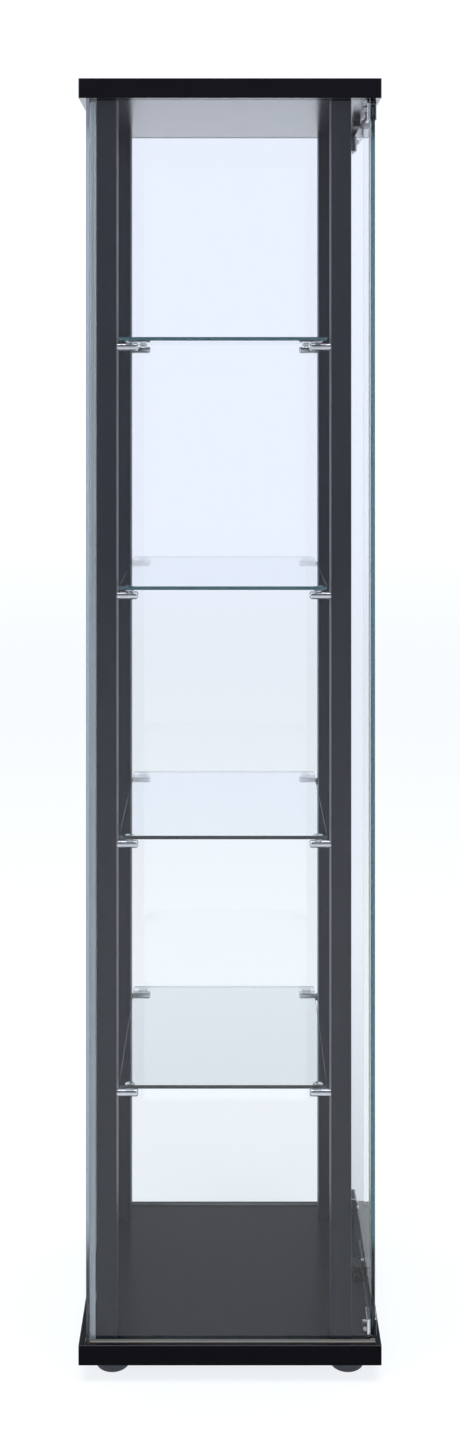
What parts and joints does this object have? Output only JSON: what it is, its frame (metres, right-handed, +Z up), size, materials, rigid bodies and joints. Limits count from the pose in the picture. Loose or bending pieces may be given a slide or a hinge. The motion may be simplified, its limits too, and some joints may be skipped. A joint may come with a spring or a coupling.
{
  "type": "glass display showcase",
  "caption": "Tall narrow glass display showcase with black top and base boards, inner posts, glass shelves on chrome pins and a clamp-hinged glass side door.",
  "frame": {"origin": "on the floor, under the middle of the boards' footprint", "axes": "+Z up along the showcase's height, -Y to the front pane, +X to the glass door"},
  "size_m": [0.42, 0.362, 1.806],
  "materials": {
    "black_laminate": "satin black melamine-faced board, with a fine pebble grain and matching edge band",
    "black_post_paint": "satin black laminate-wrapped post",
    "grey_foot_plastic": "moulded grey plastic, fine texture",
    "zinc_steel": "bright zinc-plated steel",
    "black_plastic": "moulded black nylon",
    "beech_dowel": "bare fluted beech",
    "clear_glass": "5 mm clear float glass, polished, with green-tinted ground edges",
    "shelf_glass": "5 mm clear float glass shelf with dark green polished edges",
    "grey_channel": "soft grey vinyl channel",
    "satin_aluminium": "satin anodised aluminium extrusion",
    "polished_chrome": "polished chrome plate",
    "clear_soft_plastic": "clear soft vinyl cup",
    "black_rubber": "thin black rubber liner",
    "ferrite_magnet": "pressed dark grey ferrite"
  },
  "bodies": {
    "case": {"bottom_board": "black_laminate", "top_board": "black_laminate", "front_left_foot": "grey_foot_plastic", "front_left_post": "black_post_paint", "front_right_foot": "grey_foot_plastic", "front_right_post": "black_post_paint", "back_left_foot": "grey_foot_plastic", "back_left_post": "black_post_paint", "back_right_foot": "grey_foot_plastic", "back_right_post": "black_post_paint", "bottom_post_screws": "zinc_steel", "top_post_screws": "zinc_steel", "foot_screws": "zinc_steel", "top_screw_caps": "black_plastic", "post_dowels": "beech_dowel", "front_glass": "clear_glass", "front_glass_channel": "grey_channel", "back_glass": "clear_glass", "back_glass_channel": "grey_channel", "left_glass": "clear_glass", "left_glass_channel": "grey_channel", "left_corner_profile": "satin_aluminium", "shelf_pins_1": "polished_chrome", "shelf_pads_1": "clear_soft_plastic", "shelf_pins_2": "polished_chrome", "shelf_pads_2": "clear_soft_plastic", "shelf_pins_3": "polished_chrome", "shelf_pads_3": "clear_soft_plastic", "shelf_pins_4": "polished_chrome", "shelf_pads_4": "clear_soft_plastic", "bottom_hinge_bushing": "black_plastic", "bottom_door_glide": "black_plastic", "bottom_catch_body": "black_plastic", "top_hinge_bushing": "black_plastic", "top_door_glide": "black_plastic", "top_catch_body": "black_plastic", "catch_magnets": "ferrite_magnet", "catch_pole_plates": "zinc_steel", "catch_screws": "zinc_steel"},
    "door": {"door_glass": "clear_glass", "bottom_hinge_clamp": "polished_chrome", "top_hinge_clamp": "polished_chrome", "bottom_front_clamp": "polished_chrome", "top_front_clamp": "polished_chrome", "door_clamp_liners": "black_rubber", "door_clamp_screws": "zinc_steel", "bottom_strike_plate": "polished_chrome", "top_strike_plate": "polished_chrome"},
    "shelf_1": {"glass_shelf_1": "shelf_glass"},
    "shelf_2": {"glass_shelf_2": "shelf_glass"},
    "shelf_3": {"glass_shelf_3": "shelf_glass"},
    "shelf_4": {"glass_shelf_4": "shelf_glass"}
  },
  "joints": [
    {"name": "door_hinge", "type": "hinge", "parent": "case", "child": "door", "pos_m": [0.199, 0.15, 0], "axis": [0, 0, 1], "range_deg": [0, 110]},
    {"name": "shelf_1_lift", "type": "slide", "parent": "case", "child": "shelf_1", "axis": [0, 0, 1], "range_m": [0, 0.06]},
    {"name": "shelf_2_lift", "type": "slide", "parent": "case", "child": "shelf_2", "axis": [0, 0, 1], "range_m": [0, 0.06]},
    {"name": "shelf_3_lift", "type": "slide", "parent": "case", "child": "shelf_3", "axis": [0, 0, 1], "range_m": [0, 0.06]},
    {"name": "shelf_4_lift", "type": "slide", "parent": "case", "child": "shelf_4", "axis": [0, 0, 1], "range_m": [0, 0.06]}
  ]
}
